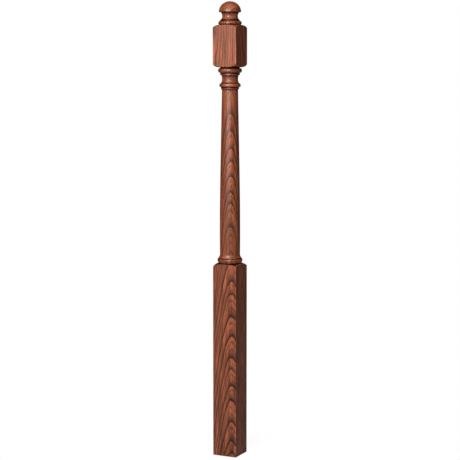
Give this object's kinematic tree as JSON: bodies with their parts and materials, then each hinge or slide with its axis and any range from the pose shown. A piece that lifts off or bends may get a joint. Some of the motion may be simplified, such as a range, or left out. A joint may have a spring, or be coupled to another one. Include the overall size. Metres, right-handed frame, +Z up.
{
  "type": "newel post",
  "caption": "Turned wooden newel post: square lower block, tapered round shaft between moulded collars, square handrail block and a mushroom-cap finial.",
  "frame": {"origin": "centre of the foot's underside, on the ground", "axes": "+Z up along the post's axis, with the square faces looking along X and Y; the wide face in the picture looks along -Y"},
  "size_m": [0.083, 0.083, 1.4732],
  "materials": {
    "stained_wood": "reddish brown stain under satin varnish"
  },
  "bodies": {
    "root": {"newel_post": "stained_wood"}
  },
  "joints": []
}
